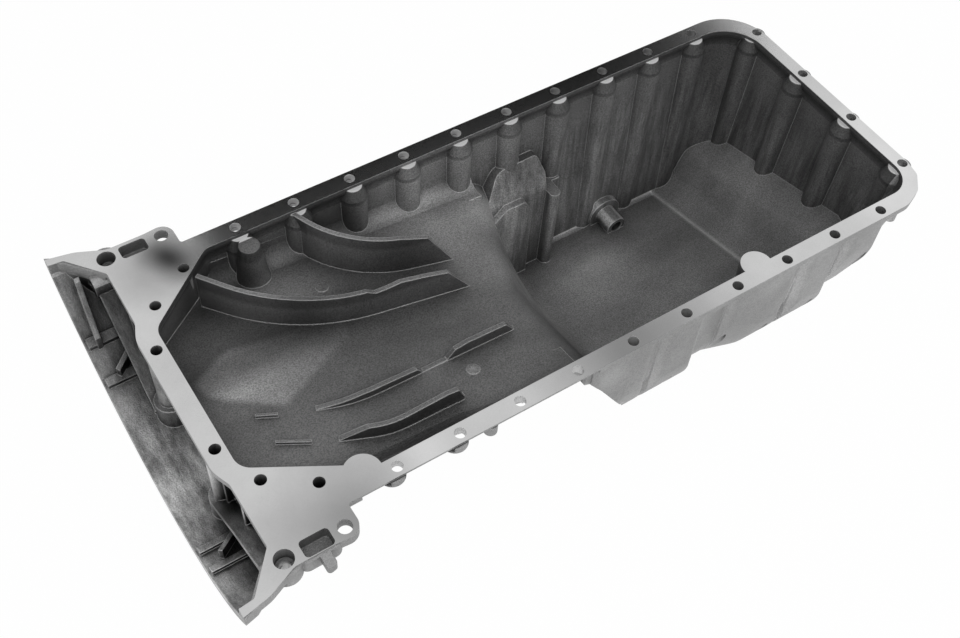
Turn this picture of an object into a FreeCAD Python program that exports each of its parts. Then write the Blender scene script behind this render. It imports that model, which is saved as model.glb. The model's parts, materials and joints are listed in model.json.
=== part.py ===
import FreeCAD, Part
import math
import os

import Sketcher

# Engine oil pan: one light-alloy casting with a bolting flange, a shallow trough, a deep sump and
# the lower half of the bell flange that meets the gearbox.
# X runs along the engine, + towards the sump. Y runs across it. Z is up, and the gasket face is z = 0.
# The origin is the middle of the two rows of rail bolts, on the gasket face.

doc = FreeCAD.newDocument("oil_pan")
sheet = doc.addObject("Spreadsheet::Sheet", "sizes")


class Size:
    """A number and the spreadsheet formula that gives it, so that each sum is written once."""

    def __init__(self, number, formula):
        self.number = float(number)
        self.formula = formula

    def __add__(self, other):
        other = as_size(other)
        return Size(self.number + other.number, f"({self.formula} + {other.formula})")

    def __sub__(self, other):
        other = as_size(other)
        return Size(self.number - other.number, f"({self.formula} - {other.formula})")

    def __mul__(self, other):
        other = as_size(other)
        return Size(self.number * other.number, f"({self.formula} * {other.formula})")

    def __truediv__(self, other):
        other = as_size(other)
        return Size(self.number / other.number, f"({self.formula} / {other.formula})")

    def __neg__(self):
        return Size(-self.number, f"(0 - {self.formula})")

    def __radd__(self, other):
        return as_size(other) + self

    def __rsub__(self, other):
        return as_size(other) - self

    def __rmul__(self, other):
        return as_size(other) * self


def as_size(value):
    return value if isinstance(value, Size) else Size(value, repr(float(value)))


def size(alias, number):
    """Writes one driving dimension into the next row of the sheet."""
    row = size.row
    sheet.set(f"A{row}", alias.replace("_", " "))
    sheet.set(f"B{row}", str(number))
    sheet.setAlias(f"B{row}", alias)
    size.row = row + 1
    return Size(number, f"sizes.{alias}")


size.row = 1

# Bolt pattern
bolt_pitch = size("bolt_pitch", 48.5)
rail_bolts = size("rail_bolts", 10)
row_spacing = size("row_spacing", 235.8)
end_row_gap = size("end_row_gap", 51.2)
end_bolt_pitch = size("end_bolt_pitch", 60)
end_bolts = size("end_bolts", 4)
bolt_hole = size("bolt_hole", 8.5)

# Gasket flange
flange_thickness = size("flange_thickness", 6)
boss_thickness = size("boss_thickness", 9)
boss_radius = size("boss_radius", 9.5)
rail_lip = size("rail_lip", 7)
rail_inset = size("rail_inset", 7.4)
end_lip = size("end_lip", 4.8)
end_inset = size("end_inset", 7)
rail_chamfer = size("rail_chamfer", 4)

# Walls
wall = size("wall", 6)
lip_overhang = size("lip_overhang", 2.4)
draft = size("draft", 2)
wall_depth = size("wall_depth", 215)
lobe_flank = size("lobe_flank", 4)
lobe_round = size("lobe_round", 7)

# Front end and bell
front_gap = size("front_gap", 88)
bell_reach = size("bell_reach", 130.8)
bell_radius = size("bell_radius", 190)
bell_axis_height = size("bell_axis_height", 104)
bell_wall = size("bell_wall", 6)
bell_throat_radius = size("bell_throat_radius", 134)
bell_depth = size("bell_depth", 112)
bell_rib = size("bell_rib", 6)
bell_rib_height = size("bell_rib_height", 3)
gusset_height = size("gusset_height", 10)
front_column_radius = size("front_column_radius", 8)
front_foot_radius = size("front_foot_radius", 12)
front_foot_top = size("front_foot_top", 62)
shelf_thickness = size("shelf_thickness", 4)

# Floors, as depths at the middle of the pan and falls per mm
trough_depth = size("trough_depth", 42)
trough_fall = size("trough_fall", 0.15)
trough_run_fall = size("trough_run_fall", 0.074)
sump_depth = size("sump_depth", 162.6)
sump_fall = size("sump_fall", 0.2309)
shelf_depth = size("shelf_depth", 101)
keel_radius = size("keel_radius", 118)
trough_corner_radius = size("trough_corner_radius", 20)
end_corner_radius = size("end_corner_radius", 72)
far_corner_radius = size("far_corner_radius", 14)
foot_radius = size("foot_radius", 25)
crest_radius = size("crest_radius", 30)

# Columns behind the bolts
column_radius = size("column_radius", 11.5)
trough_column_radius = size("trough_column_radius", 12)
trough_column_top = size("trough_column_top", 9.5)
column_inset = size("column_inset", 4)
column_top = size("column_top", 3.5)
column_cap_radius = size("column_cap_radius", 7.5)
shoulder_height = size("shoulder_height", 9)
shoulder_angle = size("shoulder_angle", 24)
scallop_radius = size("scallop_radius", 9)

# Ears
ear_hole = size("ear_hole", 13.8)
ear_hole_lower = size("ear_hole_lower", 9)
ear_hole_step = size("ear_hole_step", 12)
ear_thickness = size("ear_thickness", 9)
bell_bolt_hole = size("bell_bolt_hole", 7)
stud_hole = size("stud_hole", 10.5)
ear_boss_radius = size("ear_boss_radius", 11.5)
ear_boss_height = size("ear_boss_height", 15)
window_depth = size("window_depth", 11)

# Drain
drain_bore = size("drain_bore", 12)
drain_barrel = size("drain_barrel", 20)
drain_collar = size("drain_collar", 34)
drain_x = size("drain_x", 141)
drain_height = size("drain_height", 177)

# Baffles
baffle_thickness = size("baffle_thickness", 3.6)
mark_radius = size("mark_radius", 5)

half_run = (rail_bolts - 1) * bolt_pitch / 2
half_row = row_spacing / 2
end_row_x = half_run + end_row_gap
face_x = -(half_run + bell_reach)

PLANES = {
    "XY": FreeCAD.Rotation(),
    "XZ": FreeCAD.Rotation(FreeCAD.Vector(1, 0, 0), 90),
    "YZ": FreeCAD.Rotation(FreeCAD.Vector(1, 1, 1), 120),
}


def bind(thing, **sizes):
    """Ties properties of an object to formulas, as in Length=wall."""
    for name, value in sizes.items():
        thing.setExpression(name, as_size(value).formula)


def move(thing, x=0, y=0, z=0):
    """Places an object by formulas, keeping its rotation."""
    base = FreeCAD.Vector(as_size(x).number, as_size(y).number, as_size(z).number)
    thing.Placement = FreeCAD.Placement(base, thing.Placement.Rotation)
    for axis, value in (("x", x), ("y", y), ("z", z)):
        if isinstance(value, Size):
            thing.setExpression(f".Placement.Base.{axis}", value.formula)


def rounding(before, corner, after, radius):
    """Start, end, centre and turn of the arc that rounds one corner."""
    back = (FreeCAD.Vector(*before, 0) - FreeCAD.Vector(*corner, 0)).normalize()
    ahead = (FreeCAD.Vector(*after, 0) - FreeCAD.Vector(*corner, 0)).normalize()
    half = back.getAngle(ahead) / 2
    point = FreeCAD.Vector(*corner, 0)
    reach = radius / math.tan(half)
    centre = point + (back + ahead).normalize() * (radius / math.sin(half))
    left_turn = back.cross(ahead).z < 0
    return point + back * reach, point + ahead * reach, centre, left_turn


def outline(name, plane, corners, x=0, y=0, z=0):
    """A closed sketch through corners (across, up, radius); radius 0 is a sharp corner."""
    sketch = doc.addObject("Sketcher::SketchObject", name)
    sketch.Placement = FreeCAD.Placement(FreeCAD.Vector(), PLANES[plane])
    move(sketch, x, y, z)
    corners = [tuple(as_size(value) for value in corner) for corner in corners]
    points = [(across.number, up.number) for across, up, _ in corners]
    count = len(corners)
    ends = []
    for i, (_, _, radius) in enumerate(corners):
        if radius.number == 0:
            ends.append((FreeCAD.Vector(*points[i], 0),) * 2 + (None, True))
        else:
            ends.append(rounding(points[i - 1], points[i], points[(i + 1) % count], radius.number))
    geometry = []
    for i in range(count):
        geometry.append(Part.LineSegment(ends[i][1], ends[(i + 1) % count][0]))
    constraints = []
    formulas = []
    arcs = {}
    marks = {}
    for i, (_, _, radius) in enumerate(corners):
        if radius.number == 0:
            continue
        start, end, centre, left_turn = ends[i]
        first, last = (start, end) if left_turn else (end, start)
        circle = Part.Circle(centre, FreeCAD.Vector(0, 0, 1), radius.number)
        arcs[i] = count + len(arcs)
        geometry.append(Part.ArcOfCircle(circle, circle.parameter(first), circle.parameter(last)))
    for i in arcs:
        marks[i] = count + len(arcs) + len(marks)
    sketch.addGeometry(geometry, False)
    for i in arcs:
        sketch.addGeometry(Part.Point(FreeCAD.Vector(*points[i], 0)), True)

    def fix(kind, *parts, formula=None):
        if formula is not None:
            formulas.append((len(constraints), formula))
        constraints.append(Sketcher.Constraint(kind, *parts))

    for i, (across, up, radius) in enumerate(corners):
        before = (i - 1) % count
        if i in arcs:
            arc, mark = arcs[i], marks[i]
            first, last = (1, 2) if ends[i][3] else (2, 1)
            fix("Tangent", before, 2, arc, first)
            fix("Tangent", arc, last, i, 1)
            fix("PointOnObject", mark, 1, before)
            fix("PointOnObject", mark, 1, i)
            fix("Radius", arc, radius.number, formula=radius.formula)
            spot = mark
        else:
            fix("Coincident", before, 2, i, 1)
            spot = i
        fix("DistanceX", -1, 1, spot, 1, across.number, formula=across.formula)
        fix("DistanceY", -1, 1, spot, 1, up.number, formula=up.formula)
    sketch.addConstraint(constraints)
    for index, formula in formulas:
        if "sizes." in formula:
            sketch.setExpression(f"Constraints[{index}]", formula)
    return sketch


def grown(name, sketch, amount):
    """The outline moved outward by an amount, with arcs round its corners."""
    thing = doc.addObject("Part::Offset2D", name)
    thing.Source = sketch
    thing.Join = "Arc"
    bind(thing, Value=amount)
    return thing


def extruded(name, base, direction, length, taper=None):
    thing = doc.addObject("Part::Extrusion", name)
    thing.Base = base
    thing.DirMode = "Custom"
    thing.Dir = FreeCAD.Vector(*direction)
    thing.Solid = True
    bind(thing, LengthFwd=length)
    if taper is not None:
        bind(thing, TaperAngle=taper)
    return thing


def lofted(name, sections):
    thing = doc.addObject("Part::Loft", name)
    thing.Sections = sections
    thing.Solid = True
    thing.Ruled = True
    return thing


def fused(name, shapes):
    thing = doc.addObject("Part::MultiFuse", name)
    thing.Shapes = shapes
    return thing


def common(name, shapes):
    thing = doc.addObject("Part::MultiCommon", name)
    thing.Shapes = shapes
    return thing


def cut(name, base, tool):
    thing = doc.addObject("Part::Cut", name)
    thing.Base = base
    thing.Tool = tool
    return thing


def cylinder(name, radius, height, x, y, z):
    thing = doc.addObject("Part::Cylinder", name)
    bind(thing, Radius=radius, Height=height)
    move(thing, x, y, z)
    return thing


def box(name, length, width, height, x, y, z):
    thing = doc.addObject("Part::Box", name)
    bind(thing, Length=length, Width=width, Height=height)
    move(thing, x, y, z)
    return thing


def turned(name, profile, angle=360):
    """A profile in the XZ plane turned about an axis along X at the height of the crankshaft."""
    thing = doc.addObject("Part::Revolution", name)
    thing.Source = profile
    thing.Axis = FreeCAD.Vector(1, 0, 0)
    thing.Base = FreeCAD.Vector(0, 0, bell_axis_height.number)
    thing.setExpression("Base.z", bell_axis_height.formula)
    thing.Angle = angle
    thing.Solid = True
    return thing


def discs(name, centres, radius, top, length, taper=None):
    """Upright round prisms of one radius, from the height top down by length."""
    sketch = doc.addObject("Sketcher::SketchObject", f"{name}_circles")
    move(sketch, 0, 0, top)
    centres = [(as_size(x), as_size(y)) for x, y in centres]
    up = FreeCAD.Vector(0, 0, 1)
    sketch.addGeometry([
        Part.Circle(FreeCAD.Vector(x.number, y.number, 0), up, radius.number) for x, y in centres
    ], False)
    for i, (x, y) in enumerate(centres):
        sketch.addConstraint(Sketcher.Constraint("DistanceX", -1, 1, i, 3, x.number))
        sketch.setExpression(f"Constraints[{sketch.ConstraintCount - 1}]", x.formula)
        sketch.addConstraint(Sketcher.Constraint("DistanceY", -1, 1, i, 3, y.number))
        sketch.setExpression(f"Constraints[{sketch.ConstraintCount - 1}]", y.formula)
        sketch.addConstraint(Sketcher.Constraint("Radius", i, radius.number))
        sketch.setExpression(f"Constraints[{sketch.ConstraintCount - 1}]", radius.formula)
    return extruded(name, sketch, (0, 0, -1), length, taper)


def ribbon(name, path, radius, thickness, top, length):
    """An upright strip along start, corner, end, with the corner rounded at its middle line."""
    start, corner, end = (FreeCAD.Vector(x, y, 0) for x, y in path)
    first = (corner - start).normalize()
    last = (end - corner).normalize()
    side_first = FreeCAD.Vector(-first.y, first.x, 0)
    side_last = FreeCAD.Vector(-last.y, last.x, 0)
    middle = (side_first + side_last).normalize()
    middle = middle * (1 / middle.dot(side_first))
    turn = 1 if first.cross(last).z > 0 else -1
    half = thickness / 2

    def beside(point, across, way, rounded=None):
        return (point.x + way * across.x * half, point.y + way * across.y * half,
                0 if rounded is None else rounded - way * turn * half)

    sketch = outline(f"{name}_plan", "XY", [
        beside(start, side_first, -1),
        beside(corner, middle, -1, as_size(radius)),
        beside(end, side_last, -1),
        beside(end, side_last, 1),
        beside(corner, middle, 1, as_size(radius)),
        beside(start, side_first, 1),
    ], z=top)
    return extruded(name, sketch, (0, 0, -1), length)


def slab(name, plane, corners, at, length, direction):
    """A prism of a straight-sided or rounded outline."""
    offset = {"XY": {"z": at}, "XZ": {"y": at}, "YZ": {"x": at}}[plane]
    return extruded(name, outline(f"{name}_outline", plane, corners, **offset), direction, length)


def rail_points(y, first=0, last=None):
    """Bolt places along one rail, counted from the front."""
    last = int(rail_bolts.number) - 1 if last is None else last
    return [(i * bolt_pitch - half_run, y) for i in range(first, last + 1)]


def end_points(x):
    count = int(end_bolts.number)
    return [(x, (i - (count - 1) / 2) * end_bolt_pitch) for i in range(count)]


def flange_outline():
    """Edge of the gasket flange: side rails, round ends, and the two ears that reach the bell face."""
    side = half_row + rail_lip
    end = end_row_x + end_lip
    ear_end = -(half_run + 40.5)
    ear = [
        (ear_end, side, 2),
        (ear_end, half_row + 29.5, 9.5),
        (ear_end - 20, half_row + 27.7, 30),
        (ear_end - 49, half_row + 27.7, 12),
        (ear_end - 70, half_row + 37, 30),
        (face_x, half_row + 41, 0),
        (face_x, half_row + 34.5, 0),
        (face_x + 11, half_row + 33.5, 3),
        (face_x + 33, half_row + 7, 3),
        (face_x + 32.5, 74, 8),
        (face_x + 27, 60, 20),
    ]
    near_corner = [(end - 32, -side, 20), (end - 15, -side + 7, 8), (end - 3, -side + 20, 8), (end, -side + 35, 20)]
    corners = near_corner + [(end, side, 42)] + ear
    corners += [(across, -as_size(up), radius) for across, up, radius in reversed(ear)]
    return outline("flange_outline", "XY", corners)


def opening_outline():
    """The inner edge of the gasket flange."""
    side = half_row - rail_inset
    front = -(half_run + front_gap)
    end = end_row_x - end_inset
    return outline("opening_outline", "XY", [
        (end, -side, 22),
        (end, side, 35),
        (-(half_run + 28), side, 12),
        (front, 62, 14),
        (front, -66, 14),
        (-(half_run + 10), -side, 16),
    ])


def flange():
    """The plate, its thicker ears, and the round bosses under the bolts."""
    edge = flange_outline()
    plate = extruded("flange_plate", edge, (0, 0, -1), flange_thickness)
    ear_box = box("far_ear_box", 95, 50, ear_thickness * 2, face_x - 1, half_row + 9, -ear_thickness * 2)
    near_box = box("near_ear_box", 95, 50, ear_thickness * 2, face_x - 1, -half_row - 59, -ear_thickness * 2)
    ears = common("ears", [
        extruded("ear_plates", edge, (0, 0, -1), ear_thickness),
        fused("ear_boxes", [ear_box, near_box]),
    ])
    ear_x = face_x + 38
    window_x = face_x + 59.5
    parts = [
        plate,
        ears,
        discs("far_rail_bosses", rail_points(half_row), rail_lip, -1.5, boss_thickness - 1.5),
        discs("near_rail_bumps", [(x - 4, y) for x, y in rail_points(-half_row, 0, 1)], boss_radius, as_size(-1.5),
              flange_thickness),
        discs("end_bosses", end_points(end_row_x), boss_radius - 2, -1.5, boss_thickness - 1.5),
        discs("ear_bosses", [(ear_x, half_row + 19.8), (ear_x, -half_row - 19.8)], ear_boss_radius,
              as_size(-1), ear_boss_height),
        discs("rail_lugs", [(half_run + 14.8, -half_row - 1), (-half_run + 73, -half_row - 1)], as_size(5),
              as_size(-1), as_size(15)),
        slab("finger_lug", "XY", [
            (window_x - 1.5, -half_row - 22, 0),
            (window_x - 1.5, -half_row - 40.5, 2.5),
            (window_x + 6, -half_row - 39, 2.5),
            (window_x + 6, -half_row - 22, 0),
        ], as_size(-1), ear_thickness - 2, (0, 0, -1)),
        slab("window_pads", "XY", [
            (window_x - 16, half_row + 10, 3),
            (window_x + 16, half_row + 10, 3),
            (window_x + 16, half_row + 28, 6),
            (window_x - 16, half_row + 28, 6),
        ], as_size(-1), window_depth + 2, (0, 0, -1)),
        slab("near_window_pad", "XY", [
            (window_x - 14, -half_row - 10, 3),
            (window_x + 16, -half_row - 10, 3),
            (window_x + 16, -half_row - 29.5, 6),
            (window_x - 14, -half_row - 29.5, 6),
        ], as_size(-1), window_depth + 2, (0, 0, -1)),
    ]
    windows = [
        slab("far_window", "XY", [
            (window_x - 11, half_row + 13.1, 3),
            (window_x + 9.5, half_row + 13.1, 3),
            (window_x + 9.5, half_row + 25.1, 3),
            (window_x - 11, half_row + 25.1, 3),
        ], as_size(1), window_depth + 1, (0, 0, -1)),
        slab("near_window", "XY", [
            (window_x - 9.5, -half_row - 14.1, 3),
            (window_x + 11.5, -half_row - 14.1, 3),
            (window_x + 11.5, -half_row - 27.1, 3),
            (window_x - 9.5, -half_row - 27.1, 3),
        ], as_size(1), window_depth + 1, (0, 0, -1)),
    ]
    ear_places = [(ear_x, half_row + 19.8), (ear_x, -half_row - 19.8)]
    holes = [
        discs("ear_counterbores", ear_places, ear_hole / 2, as_size(1), ear_hole_step + 1),
        discs("ear_holes", ear_places, ear_hole_lower / 2, as_size(1), ear_boss_height + 4),
        discs("stud_holes", [(-(half_run + 50), half_row + 20.1), (-(half_run + 50), -half_row - 20.1)],
              stud_hole / 2, as_size(1), ear_boss_height + 4),
    ]
    return parts, windows + holes


def floor_section(name, y, crest, foot, foot_round):
    """Section along the pan: trough floor, crest, slope, sump floor, step and shelf, open to the sky."""
    deep = -sump_depth - y * sump_fall
    sky = 40
    left = -(half_run + front_gap + lip_overhang + 1)
    right = end_row_x - end_inset + lip_overhang + 1

    def trough(x):
        return -trough_depth - y * trough_fall - x * trough_run_fall

    return outline(name, "XZ", [
        (left, trough(left), 12),
        (crest, trough(crest), crest_radius),
        (foot, deep, foot_round),
        (end_row_x - 66, deep, 0),
        (end_row_x - 43, deep + 11, 16),
        (end_row_x - 32, deep + 42, 14),
        (right, -shelf_depth - y * sump_fall, 12),
        (right, sky, 0),
        (left, sky, 0),
    ], y=y)


def keel_corners(sides, radii, floor):
    """Section across the pan that rounds the bottom corners, a little below the floor itself."""
    near, far = sides
    sky = 40
    return [
        (-near, floor + near * sump_fall, radii[0]),
        (far, floor - far * sump_fall, radii[1]),
        (far, sky, 0),
        (-near, sky, 0),
    ]


def keel(name, side, drop, near_spread):
    """Lofts keel sections along the pan, for the hollow or for its outside."""
    floor = -sump_depth - 1 - drop
    deep = keel_corners((side, side), (keel_radius + near_spread, far_corner_radius + drop), floor)
    shallow = keel_corners((side, side), (keel_radius / 2 + near_spread, far_corner_radius + drop),
                           -shelf_depth - 4 - drop)
    return lofted(name, [
        outline(f"{name}_front", "YZ", deep, x=-(half_run + front_gap + 20)),
        outline(f"{name}_sump", "YZ", deep, x=end_row_x - 60),
        outline(f"{name}_end", "YZ", shallow, x=end_row_x + 12),
    ])


def corner_fill(name, side, end, radii, reach):
    """What lies outside the rounded corner of the near wall and the end wall, rounder further down."""
    return lofted(name, [
        outline(f"{name}_{i}", "XY", [
            (end + reach, -(side - radius) + 2, 0),
            (end, -(side - radius) + 2, 0),
            (end, -side, radius),
            (end - radius - 2, -side, 0),
            (end - radius - 2, -side - reach, 0),
            (end + reach, -side - reach, 0),
        ], z=-depth) for i, (radius, depth) in enumerate(zip(radii, (5, 65, wall_depth + 20)))
    ])


def hollow_and_skin():
    """The hollow of the pan and the same shape one wall thickness larger, which is its outside."""
    opening = opening_outline()
    near_y = -(half_row + 25)
    far_y = half_row + 25
    floors = [
        floor_section("floor_near", near_y, -54, 16, foot_radius),
        floor_section("floor_middle", as_size(-11), -54, 16, foot_radius),
        floor_section("floor_far", far_y, 17, 22.6, foot_radius / 2),
    ]
    inner_side = half_row - rail_inset + lip_overhang
    inner_end = end_row_x - end_inset + lip_overhang
    inner_walls = extruded("inner_walls", grown("inner_wall_outline", opening, lip_overhang), (0, 0, -1),
                           wall_depth, -draft)
    move(inner_walls, 0, 0, -flange_thickness)
    inner_keel = keel("inner_keel", inner_side + 1, as_size(0), as_size(0))
    fillers = [
        corner_fill("inner_corner", inner_side + 0.4, inner_end + 0.4,
                    (30, end_corner_radius, end_corner_radius + 20), 12),
        trough_corner("near_trough_corner", -1, trough_corner_radius, as_size(268), 0),
        trough_corner("far_trough_corner", 1, far_corner_radius, as_size(316), 0),
    ]
    hollow = cut("hollow", common("square_hollow", [inner_walls, lofted("inner_floor", floors), inner_keel]),
                 fused("corner_fillers", fillers))
    outer_walls = extruded("outer_walls", grown("outer_wall_outline", opening, lip_overhang + wall), (0, 0, -1),
                           wall_depth + 10, -draft)
    outer_floor = lofted("outer_floor", [grown(f"outer_{s.Name}", s, wall) for s in floors])
    outer_side = inner_side + 1 + wall
    outer_keel = keel("outer_keel", outer_side, wall, wall * 2)
    trims = [
        corner_fill("outer_corner", inner_side + wall, inner_end + wall,
                    (34, end_corner_radius + wall, end_corner_radius + wall + 20), 20),
        trough_corner("outer_trough_corner", -1, trough_corner_radius + wall, as_size(264), wall - 0.2),
    ]
    bare_skin = cut("bare_skin", common("square_skin", [outer_walls, outer_floor, outer_keel]),
                    fused("skin_trims", trims))
    sides = (half_row + rail_lip + 1, outer_side)
    bottom = -sump_depth - 1 - wall
    low = keel_corners(sides, (keel_radius - 2, far_corner_radius), bottom)
    high = keel_corners(sides, (keel_radius + 42, far_corner_radius), bottom)
    lobes = common("lobes", [outer_floor, fused("lobe_prisms", [
        common("first_lobes", [
            fused("first_lobe_walls", [lobe("lobe_1", -58, -5), lobe("lobe_2", 3.75, 41.75)]),
            slab("first_lobe_keel", "YZ", low, as_size(-70), as_size(120), (1, 0, 0)),
        ]),
        common("middle_lobes", [
            fused("middle_lobe_walls", [lobe("lobe_3", 66.75, 131.75), lobe("lobe_4", 141.75, 178.75)]),
            lofted("middle_lobe_keel", [
                outline("middle_keel_left", "YZ", high, x=as_size(58)),
                outline("middle_keel_middle", "YZ", low, x=as_size(104)),
                outline("middle_keel_right", "YZ", low, x=as_size(185)),
            ]),
        ]),
        common("last_lobe", [
            lobe("lobe_5", 185.75, 224),
            slab("last_lobe_keel", "YZ", high, as_size(182), as_size(60), (1, 0, 0)),
        ]),
    ])])
    mouth = extruded("mouth", opening, (0, 0, -1), flange_thickness + 1)
    mouth.LengthRev = 1
    return fused("mouth_and_hollow", [mouth, hollow]), fused("skin", [bare_skin, lobes])


def lobe(name, left, right):
    """One swelling of the near wall, flush with the edge of the flange between its two flanks."""
    face = -(half_row + rail_lip)
    back = as_size(-60)
    return slab(name, "XY", [
        (left, back, 0),
        (left, face + lobe_flank * 1.5, 0),
        (left + lobe_flank, face, lobe_round),
        (right - lobe_flank, face, lobe_round),
        (right, face + lobe_flank * 1.5, 0),
        (right, back, 0),
    ], as_size(0), wall_depth + 10, (0, 0, -1))


def trough_floor(x, y):
    return -trough_depth - y * trough_fall - x * trough_run_fall


def trough_corner(name, side, radius, length, gap):
    """What lies outside the rounded corner of the trough floor and one wall, a gap outside the hollow."""
    start = -(half_run + front_gap + 20)
    edge = side * (half_row - rail_inset + lip_overhang - 0.7 + gap)
    reach = side * radius * 1.5

    def up(y):
        return trough_floor(start, y) - 0.1 - gap

    strip = outline(f"{name}_outline", "YZ", [
        (edge + side * 8, up(edge) - 8, 0),
        (edge - reach, up(edge - reach) - 8, 0),
        (edge - reach, up(edge - reach), 0),
        (edge, up(edge), radius),
        (edge, up(edge) + radius * 1.5, 0),
        (edge + side * 8, up(edge) + radius * 1.5, 0),
    ], x=start)
    bar = extruded(name, strip, (1, 0, 0), length)
    tilt = FreeCAD.Rotation(FreeCAD.Vector(0, 1, 0), math.degrees(math.atan(trough_run_fall.number)))
    bar.Placement = FreeCAD.Placement(FreeCAD.Vector(), tilt, FreeCAD.Vector(start.number, 0, 0))
    return bar


def floor_mark(name, x, y):
    """The low round mark that an ejector pin leaves on the trough floor."""
    disc = cylinder(name, mark_radius, 3, as_size(x), as_size(y), trough_floor(as_size(x), as_size(y)) - 2.6)
    normal = FreeCAD.Vector(trough_run_fall.number, trough_fall.number, 1)
    disc.Placement = FreeCAD.Placement(disc.Placement.Base, FreeCAD.Rotation(FreeCAD.Vector(0, 0, 1), normal))
    return disc


def small_rib(name, start, end, top):
    """A short low rib on the trough floor."""
    along = FreeCAD.Vector(end[0] - start[0], end[1] - start[1], 0).normalize()
    return slab(name, "XY", [
        (start[0] + along.y, start[1] - along.x, 0),
        (end[0] + along.y, end[1] - along.x, 0),
        (end[0] - along.y, end[1] + along.x, 0),
        (start[0] - along.y, start[1] + along.x, 0),
    ], as_size(top), as_size(12), (0, 0, -1))


def baffle(name, path, radius, crest):
    """A curved blade on the trough floor, with the heights of its upper edge given along X."""
    strip = ribbon(f"{name}_strip", path, radius, baffle_thickness, as_size(0), as_size(80))
    left = crest[0][0] - 1
    right = crest[-1][0] + 1
    side = slab(f"{name}_side", "XZ", [(left, -80, 0), (left, crest[0][1], 0)] + [
        (x, z, 0) for x, z in crest
    ] + [(right, crest[-1][1], 0), (right, -80, 0)], as_size(140), as_size(280), (0, -1, 0))
    return common(name, [strip, side])


def baffles():
    return [
        baffle("long_baffle", [(-262, 92), (-214.2, 26.6), (-80, 7.5)], 140, [
            (-266, -1), (-213, -2), (-182, -3.5), (-163, -4), (-156, -8), (-146, -7), (-137, -5), (-117, -8),
            (-99, -12), (-80, -38)]),
        baffle("second_baffle", [(-177, 118), (-152, 57), (-75, 39.5)], 85, [
            (-180, -3), (-152, -2), (-117, -3), (-96, -9), (-75, -43)]),
        baffle("third_baffle", [(-238, -41.6), (-212, -50.5), (-77, -48)], 100, [
            (-238, -17), (-221, -14.4), (-207, -12.4), (-192, -13), (-162.4, -16.1), (-157.3, -22.4),
            (-137, -23.4), (-130.4, -15.7), (-118.5, -14.7), (-86, -17.6), (-78, -29)]),
        baffle("fourth_baffle", [(-237.5, -73.6), (-205, -87), (-146, -86)], 60, [
            (-237.5, -12), (-228, -6.3), (-219, -1), (-160, -1), (-151, -3), (-146.5, -13.5)]),
    ]


def inner_features():
    """Everything that stands inside the hollow: columns, baffles, the sump's lumps and post, the drain boss."""
    inner_row = half_row - column_inset
    drain_z = -drain_height
    barrel = cylinder("drain_barrel_body", drain_barrel / 2, 60, drain_x, as_size(82), drain_z)
    collar = cylinder("drain_collar_disc", drain_collar / 2, 40, drain_x, as_size(101), drain_z)
    for thing in (barrel, collar):
        thing.Placement = FreeCAD.Placement(thing.Placement.Base, FreeCAD.Rotation(FreeCAD.Vector(1, 0, 0), -90))
    foot = doc.addObject("Part::Cone", "wall_foot")
    bind(foot, Radius1=15, Radius2=8, Height=50)
    move(foot, -half_run + 2, half_row - 18, as_size(-3.5) - 50)
    last_shallow = 3
    return [
        discs("shoulders", rail_points(inner_row) + end_points(end_row_x - column_inset), column_cap_radius,
              -column_top, shoulder_height, shoulder_angle),
        discs("far_columns", rail_points(inner_row), column_radius, -column_top - shoulder_height + 0.3,
              as_size(210)),
        discs("near_trough_columns", rail_points(-half_row, 0, last_shallow), trough_column_radius,
              -trough_column_top, as_size(60)),
        discs("near_sump_columns", rail_points(-half_row, last_shallow + 1), rail_inset, -column_top, as_size(210)),
        discs("end_columns", end_points(end_row_x - column_inset), column_radius,
              -column_top - shoulder_height + 0.3, as_size(210)),
        discs("rail_tabs", [(-(half_run + 21.2), -half_row + 8)], as_size(13.5), as_size(2), as_size(60)),
        discs("sump_tab", [(98.2, -half_row + 8.5)], as_size(12.3), as_size(2), as_size(210)),
        foot,
        common("wall_step", [
            slab("wall_step_front", "XZ", [
                (-9, -90, 0), (10, -52, 12), (50, -51, 5), (57, -70, 0), (57, -200, 0), (-9, -200, 0),
            ], as_size(88), as_size(40), (0, 1, 0)),
            slab("wall_step_side", "YZ", [
                (105, -49, 0), (93, -84, 20), (93, -200, 0), (130, -200, 0), (130, -49, 0),
            ], as_size(-12), as_size(72), (1, 0, 0)),
        ]),
        slab("wall_block", "XZ", [
            (-12, -106, 0), (12, -84, 3), (31, -84, 4), (39, -100, 6), (40, -200, 0), (-12, -200, 0),
        ], as_size(87), as_size(40), (0, 1, 0)),
        box("post_web", 19, 30, 130, as_size(57), as_size(100), as_size(-219)),
        box("post_tongue", 10.5, 30, 130, as_size(57), as_size(88), as_size(-219)),
        cylinder("post_nose", as_size(5.25), as_size(130), as_size(62.25), as_size(88), as_size(-219)),
        barrel,
        collar,
        floor_mark("far_mark", -178, 62),
        floor_mark("near_mark", -126, -68),
        small_rib("front_rib", (-276.5, -27), (-262.5, -34), -14.5),
        small_rib("near_rib", (-275, -54.5), (-254, -66.7), -10.6),
    ] + baffles()


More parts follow.
